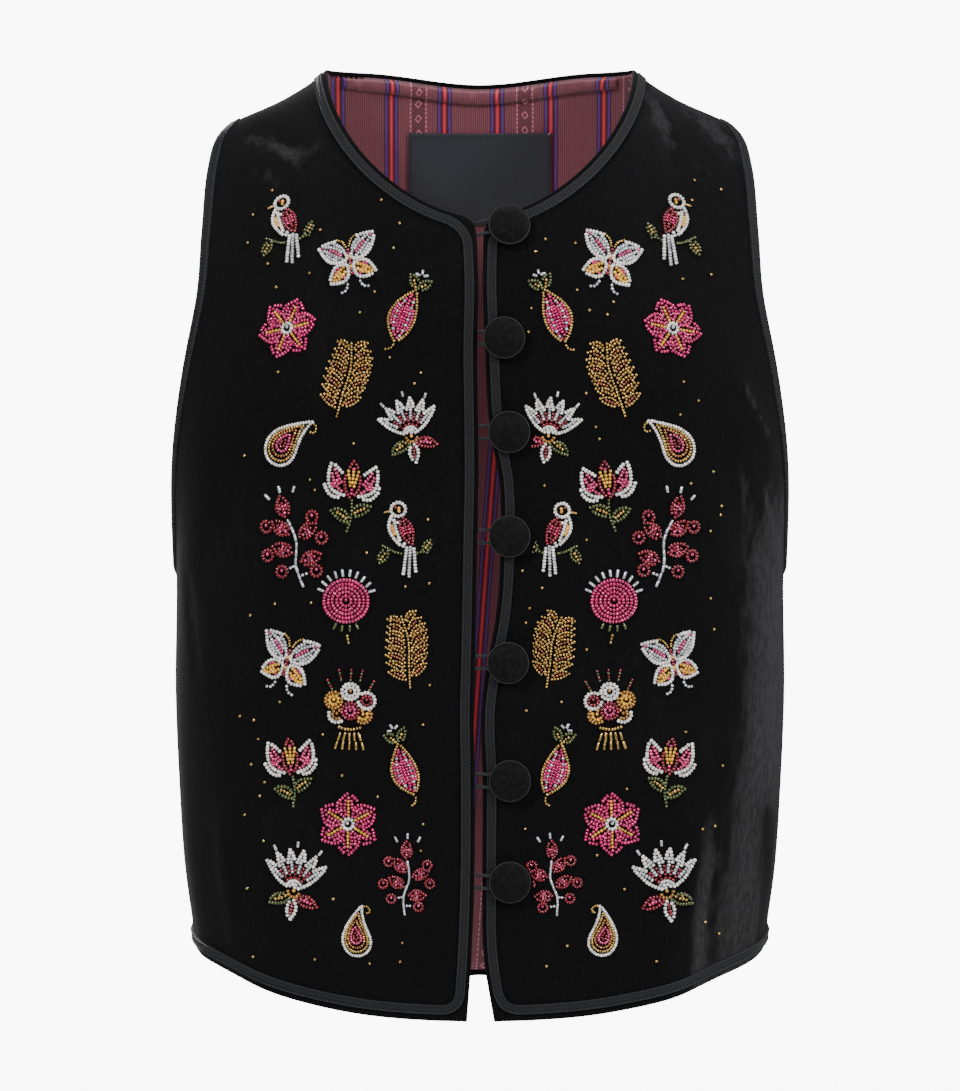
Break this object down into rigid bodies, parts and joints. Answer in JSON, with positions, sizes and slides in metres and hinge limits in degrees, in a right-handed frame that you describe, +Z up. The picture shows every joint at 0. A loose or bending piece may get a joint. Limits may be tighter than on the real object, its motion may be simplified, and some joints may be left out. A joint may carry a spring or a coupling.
{
  "type": "cropped waistcoat",
  "caption": "Sleeveless cropped velvet waistcoat, hollow as worn, with braided edges, covered buttons in cord loops and a striped lining.",
  "frame": {"origin": "midway between the two high neck points, where the garment hangs on the shoulders", "axes": "+Z up, the fronts face -Y, the wearer's left side is +X"},
  "size_m": [0.3306, 0.2142, 0.5068],
  "materials": {
    "velvet": "black cotton velvet, short pile",
    "braid": "flat plaited braid, charcoal",
    "button_cloth": "covered in fine black cloth",
    "loop_cord": "soft round cord, charcoal",
    "lining": "ribbed burgundy lining with stripes",
    "label": "woven, bare",
    "glass_beads": "small glass beads in several colours"
  },
  "bodies": {
    "root": {"front_right": "velvet", "front_left": "velvet", "back": "velvet", "back_lining": "lining", "lining_neck_fold": "lining", "neck_label": "label", "braid_front_right": "braid", "braid_front_left": "braid", "braid_back_neck": "braid", "braid_back_hem": "braid", "braid_armhole_right": "braid", "braid_armhole_left": "braid", "button_1": "button_cloth", "button_2": "button_cloth", "button_3": "button_cloth", "button_4": "button_cloth", "button_5": "button_cloth", "button_6": "button_cloth", "button_7": "button_cloth", "loop_1": "loop_cord", "loop_2": "loop_cord", "loop_3": "loop_cord", "loop_4": "loop_cord", "loop_5": "loop_cord", "loop_6": "loop_cord", "loop_7": "loop_cord"}
  },
  "joints": []
}
